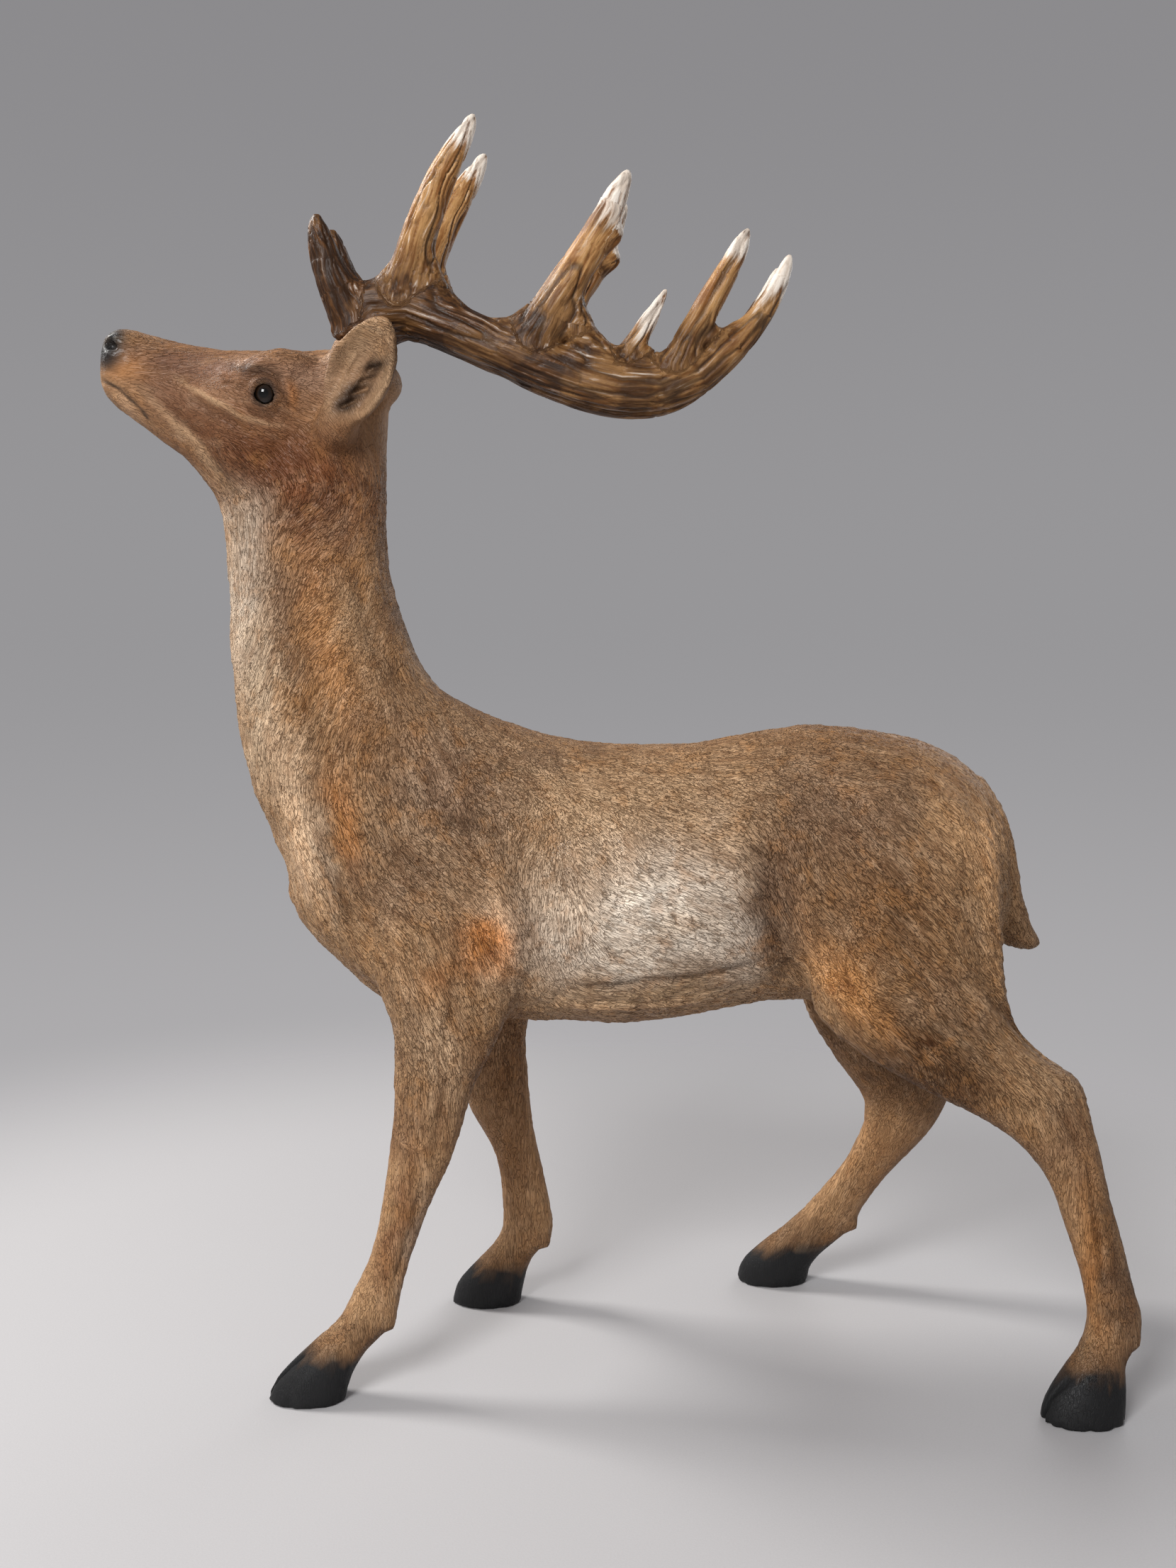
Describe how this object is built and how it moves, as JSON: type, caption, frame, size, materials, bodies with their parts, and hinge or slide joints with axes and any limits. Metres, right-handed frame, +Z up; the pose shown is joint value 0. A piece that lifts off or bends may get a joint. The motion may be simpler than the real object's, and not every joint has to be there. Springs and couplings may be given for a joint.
{
  "type": "deer statue",
  "caption": "Life-like resin stag statue standing with raised muzzle, swept-back antlers and glass eyes, free-standing on its hooves.",
  "frame": {"origin": "on the floor, under the middle of the statue", "axes": "+Z up; the stag looks along -X and its left side is -Y"},
  "size_m": [1.1813, 0.4583, 1.4418],
  "materials": {
    "painted_fur": "satin brown painted resin",
    "painted_antler": "satin amber-brown painted resin, pale tips",
    "eye_glass": "glossy black"
  },
  "bodies": {
    "root": {"body": "painted_fur", "antler_left": "painted_antler", "antler_right": "painted_antler", "eye_left": "eye_glass", "eye_right": "eye_glass"}
  },
  "joints": []
}
